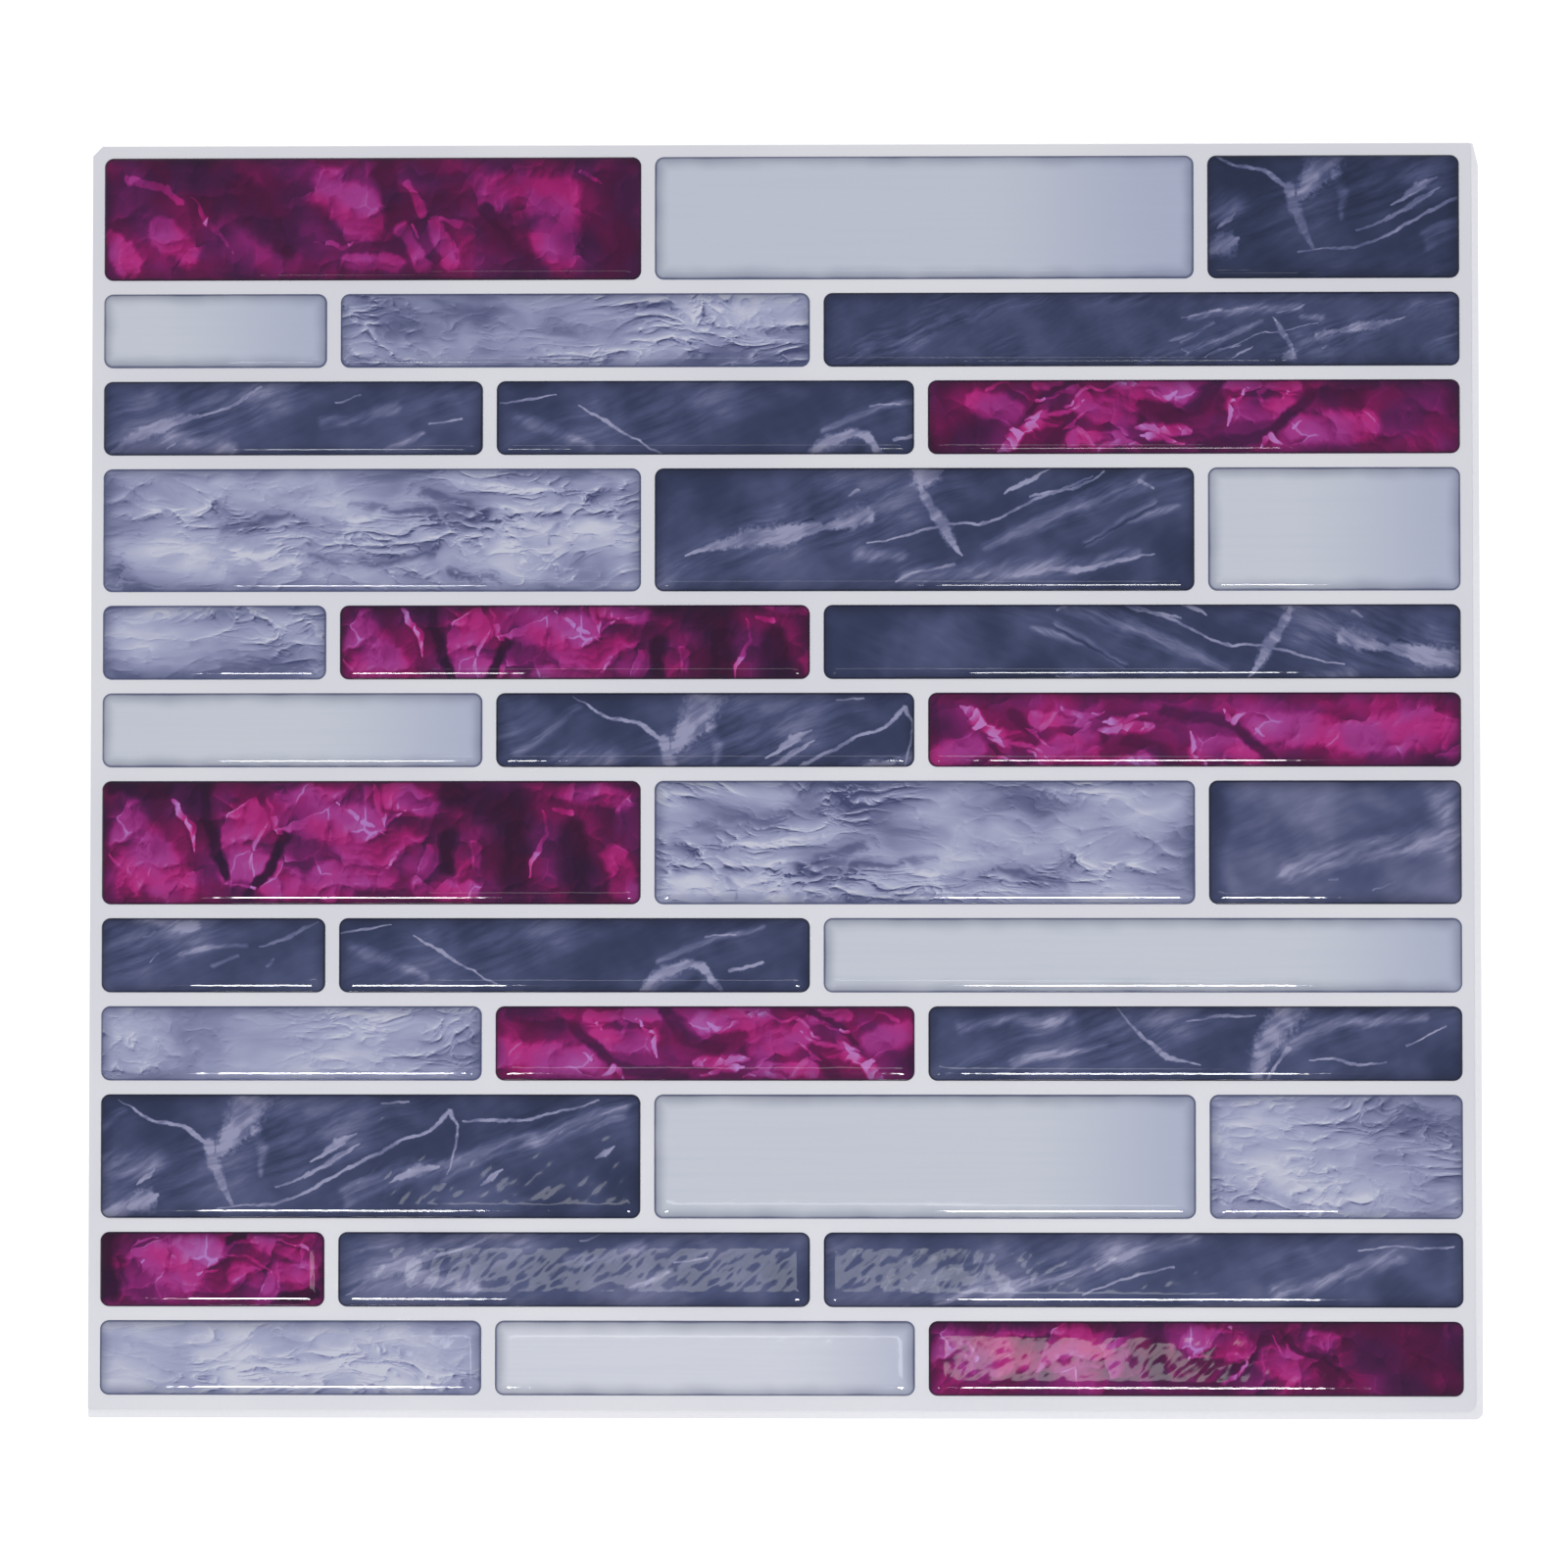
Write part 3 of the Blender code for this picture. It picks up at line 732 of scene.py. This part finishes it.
def mix_prints():
    """All prints by name, each with the material slot of its tiles."""
    slates = {
        "fork": slate_print("forked slate", FORK_BRIGHT, FORK_FAINT),
        # Painted shade: the forked slate made darker for the top course's right tile
        "dim fork": slate_print("forked slate in painted shade", FORK_BRIGHT, FORK_FAINT, base=-0.25, veins=0.34),
        # Painted reflection: the comet slate made lighter where glare lies on the gel
        "haze": slate_print("comet slate with painted glare", COMET_BRIGHT, COMET_FAINT, base=0.20),
        "spindle": slate_print("spindle slate", SPINDLE_BRIGHT, SPINDLE_FAINT, SPINDLE_DARK),
        "far spindle": slate_print("far spindle slate", SPINDLE_BRIGHT, SPINDLE_FAINT,
                                   base=0.13, clouds=0.18, veins=0.46),
        "wedge": slate_print("wedge slate", WEDGE_BRIGHT, WEDGE_FAINT, base=0.05),
        "arch": slate_print("arched slate", ARCH_BRIGHT, ARCH_FAINT, ARCH_DARK, streaks=0.7),
        "comet": slate_print("comet slate", COMET_BRIGHT, COMET_FAINT, base=0.08),
        "drift": slate_print("drifting slate", DRIFT_BRIGHT, DRIFT_FAINT, base=0.09, veins=0.42),
        "mist": slate_print("misty slate", MIST_BRIGHT, MIST_FAINT, MIST_DARK,
                            streaks=0.3, base=0.21, veins=0.46),
        "stream": slate_print("streaming slate", STREAM_BRIGHT, STREAM_FAINT, streaks=0.7, base=0.15),
    }
    marbles = {
        "marble": marble_print("folded marble", MARBLE_LIGHT, MARBLE_DARK, base=-0.03),
        "soft marble": marble_print("soft marble", soft=0.35, base=0.08),
        "bright marble": marble_print("bright marble", soft=0.2, base=0.24),
    }
    pales = {
        "pale": pale_print("brushed pale", PALE_COOL),
        "dim pale": pale_print("dim brushed pale", PALE_DIM),
        "bright pale": pale_print("bright brushed pale", PALE_BRIGHT),
    }
    plums = {
        "petals": plum_print("plum petals", PETALS_LIT, PETALS_DARK, PETALS_LILAC, base=0.10),
        "folds": plum_print("plum folds", FOLDS_LIT, FOLDS_DARK, FOLDS_LILAC,
                            base=0.20, deep=0.26, crisp=0.55, lean=20.0),
        "closed folds": plum_print("closed plum folds", FOLDS_LIT[1:], FOLDS_DARK, FOLDS_LILAC,
                                   base=0.11, deep=0.2, crisp=0.7, lean=20.0),
        "bloom": plum_print("plum bloom", BLOOM_LIT, BLOOM_DARK, BLOOM_LILAC,
                            base=0.06, deep=0.16, crisp=0.7, shine=0.66, creased=0.08),
        "twist": plum_print("plum twist", TWIST_LIT, TWIST_DARK, TWIST_LILAC, base=0.23, shine=0.84),
        "bud": plum_print("plum bud", BUD_LIT, BUD_DARK, BUD_LILAC, base=0.12, deep=0.2, shine=0.86),
    }
    slots = {"slate": slates, "marble": marbles, "pale": pales, "plum": plums}
    return {name: (slot, made) for slot, prints in slots.items() for name, made in prints.items()}


# Gel tiles

def deselect():
    bpy.ops.object.select_all(action="DESELECT")


def round_block(length, width):
    """Models the tile's low foot, centred on the origin, with its upright edges rounded."""
    deselect()
    bpy.ops.mesh.primitive_cube_add(size=1.0, location=(0, 0, FOOT_HEIGHT / 2))
    block = bpy.context.object
    block.scale = (length, width, FOOT_HEIGHT)
    bpy.ops.object.transform_apply(location=True, rotation=True, scale=True)
    mesh = block.data

    bpy.context.tool_settings.mesh_select_mode = (False, True, False)
    bpy.ops.object.mode_set(mode="EDIT")
    bpy.ops.mesh.select_all(action="DESELECT")
    bpy.ops.object.mode_set(mode="OBJECT")
    for edge in mesh.edges:
        first, second = (mesh.vertices[index].co for index in edge.vertices)
        edge.select = abs(first.z - second.z) > FOOT_HEIGHT / 2
    bpy.ops.object.mode_set(mode="EDIT")
    bpy.ops.mesh.bevel(
        offset=CORNER_RADIUS, segments=CORNER_SEGMENTS, affect="EDGES", clamp_overlap=False
    )
    bpy.context.tool_settings.mesh_select_mode = (False, False, True)
    return block


def select_top(mesh):
    """Selects the uppermost face only."""
    bpy.ops.mesh.select_all(action="DESELECT")
    bpy.ops.object.mode_set(mode="OBJECT")
    top = max(mesh.polygons, key=lambda face: face.center.z)
    top.select = True
    bpy.ops.object.mode_set(mode="EDIT")


def raise_dome(length, width, rise):
    """Raises the selected face ring by ring, steeply at first and then into a flat crown."""
    steps = [SHOULDER * (step / SHOULDER_STEPS) ** STEP_SPREAD for step in range(1, SHOULDER_STEPS + 1)]
    done, level = 0.0, 0.0
    for inset in steps + list(CROWN_STEPS):
        reached = rise * (1 - (1 - min(inset / SHOULDER, 1.0)) ** SHOULDER_POWER)
        bpy.ops.mesh.extrude_region_move(TRANSFORM_OT_translate={"value": (0, 0, reached - level)})
        across = (length - 2 * inset) / (length - 2 * done)
        deep = (width - 2 * inset) / (width - 2 * done)
        bpy.ops.transform.resize(value=(across, deep, 1.0), center_override=(0, 0, 0))
        done, level = inset, reached


def rim_distance(x, y, length, width):
    """How far inside the tile's rounded outline a place is."""
    over_x = abs(x) - length / 2 + CORNER_RADIUS
    over_y = abs(y) - width / 2 + CORNER_RADIUS
    outside = math.hypot(max(over_x, 0.0), max(over_y, 0.0)) + min(max(over_x, over_y), 0.0)
    return CORNER_RADIUS - outside


def pour_tile(length, width, height):
    """Models one drop of gel on its print, centred on the origin."""
    piece = round_block(length, width)
    mesh = piece.data
    select_top(mesh)
    raise_dome(length, width, height - FOOT_HEIGHT)
    bpy.ops.mesh.select_all(action="SELECT")
    bpy.ops.mesh.normals_make_consistent(inside=False)
    bpy.ops.object.mode_set(mode="OBJECT")
    bpy.ops.object.shade_smooth_by_angle(angle=SMOOTH_ANGLE)

    rim = mesh.attributes.new("rim", "FLOAT", "POINT")
    for vertex, value in zip(mesh.vertices, rim.data):
        value.value = rim_distance(vertex.co.x, vertex.co.y, length, width) / MM
    piece.hide_render = True
    return piece


def lay_tile(pattern, name, node, low, high, cut, prints):
    """Copies a poured tile to its node's place and cuts its print."""
    kind, print_x, print_y, *turned = cut
    side_x, side_y, scale = turned or PLAIN_CUT
    slot, material = prints[kind]
    piece = bpy.data.objects.new(name, pattern.data.copy())
    bpy.context.scene.collection.objects.link(piece)
    mesh = piece.data
    layer = mesh.uv_layers.new(name="print")
    for loop, spot in zip(mesh.loops, layer.data):
        place = mesh.vertices[loop.vertex_index].co
        spot.uv = (print_x + side_x * scale * place.x / MM, print_y + side_y * scale * place.y / MM)
    middle = Vector(((low.x + high.x) / 2, (low.y + high.y) / 2, low.z))
    for vertex in mesh.vertices:
        vertex.co += middle
    mesh.materials.clear()
    mesh.materials.append(material)
    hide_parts(node)
    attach(piece, "root")


def lay_courses():
    """Pours each size of tile once and lays its copies, course by course from the top."""
    prints = mix_prints()
    patterns = {}
    for row, cuts in enumerate(CUTS, 1):
        for side, cut in zip(SIDES, cuts):
            node = f"tile_row{row:02d}_{side}"
            low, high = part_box(node)
            length, width = high.x - low.x, high.y - low.y
            size = (round(length / MM, 1), round(width / MM, 1))
            if size not in patterns:
                patterns[size] = pour_tile(length, width, high.z - low.z)
            lay_tile(patterns[size], f"gel_row{row:02d}_{side}", node, low, high, cut, prints)
    for pattern in patterns.values():
        bpy.data.objects.remove(pattern, do_unlink=True)


def dress_node(node, material):
    """Gives a CAD node that stays its finish."""
    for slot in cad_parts[node].material_slots:
        slot.material = material


# Floor, light, camera

def add_lamp(name, place, aim, size, watts, gloss, spread=180.0, turn=0.0):
    """An area lamp that either lights the surfaces or shows in the gel's gloss."""
    data = bpy.data.lights.new(name, "AREA")
    data.shape = "RECTANGLE"
    data.size, data.size_y = size
    data.energy = watts
    data.spread = math.radians(spread)
    lamp = bpy.data.objects.new(name, data)
    lamp.location = place
    facing = (Vector(place) - Vector(aim)).to_track_quat("Z", "Y")
    lamp.rotation_euler = (facing @ Quaternion((0, 0, 1), math.radians(turn))).to_euler()
    lamp.visible_diffuse = not gloss
    lamp.visible_glossy = gloss
    lamp.visible_camera = False
    bpy.context.scene.collection.objects.link(lamp)


def add_floor():
    """A pale floor, which the camera sees a little brighter than it lights the sheet."""
    deselect()
    bpy.ops.mesh.primitive_plane_add(size=FLOOR_SIZE, location=(0, 0, -FLOOR_DROP))
    floor = bpy.context.object
    floor.name = "floor"
    finish = Finish("pale floor")
    diffuse = finish.node("BsdfDiffuse", {}, {"Color": FLOOR_GREY})
    glow = finish.node("Emission", {}, {"Color": (1, 1, 1, 1), "Strength": FLOOR_GLOW})
    both = finish.node("AddShader", {}, {0: diffuse, 1: glow})
    seen = finish.node("LightPath", {}, {}, output="Is Camera Ray")
    shown = finish.node("MixShader", {}, {"Fac": seen, 1: diffuse, 2: both})
    floor.data.materials.append(finish.close(shown))


def add_world():
    world = bpy.data.worlds.new("studio")
    world.use_nodes = True
    bpy.context.scene.world = world
    back = world.node_tree.nodes["Background"]
    back.inputs["Color"].default_value = STUDIO_WHITE
    back.inputs["Strength"].default_value = STUDIO_STRENGTH


def add_camera():
    data = bpy.data.cameras.new("camera")
    data.lens = CAMERA_LENS
    data.clip_start = CAMERA_NEAR
    camera = bpy.data.objects.new("camera", data)
    camera.location = CAMERA_PLACE
    back = (CAMERA_PLACE - CAMERA_AIM).normalized()
    right = Vector((0, 1, 0)).cross(back).normalized()
    camera.rotation_euler = Matrix((right, back.cross(right), back)).transposed().to_euler()
    bpy.context.scene.collection.objects.link(camera)
    bpy.context.scene.camera = camera


lay_courses()
dress_node("printed_film", film_finish())
dress_node("release_liner", liner_finish())
add_floor()
add_world()
for name, (place, aim, size, watts) in SOFT_LAMPS.items():
    add_lamp(name, place, aim, size, watts, False)
for name, (place, aim, size, watts, spread, turn) in GLOSS_LAMPS.items():
    add_lamp(name, place, aim, size, watts, True, spread, turn)
add_camera()

bpy.context.scene.view_settings.view_transform = "Standard"
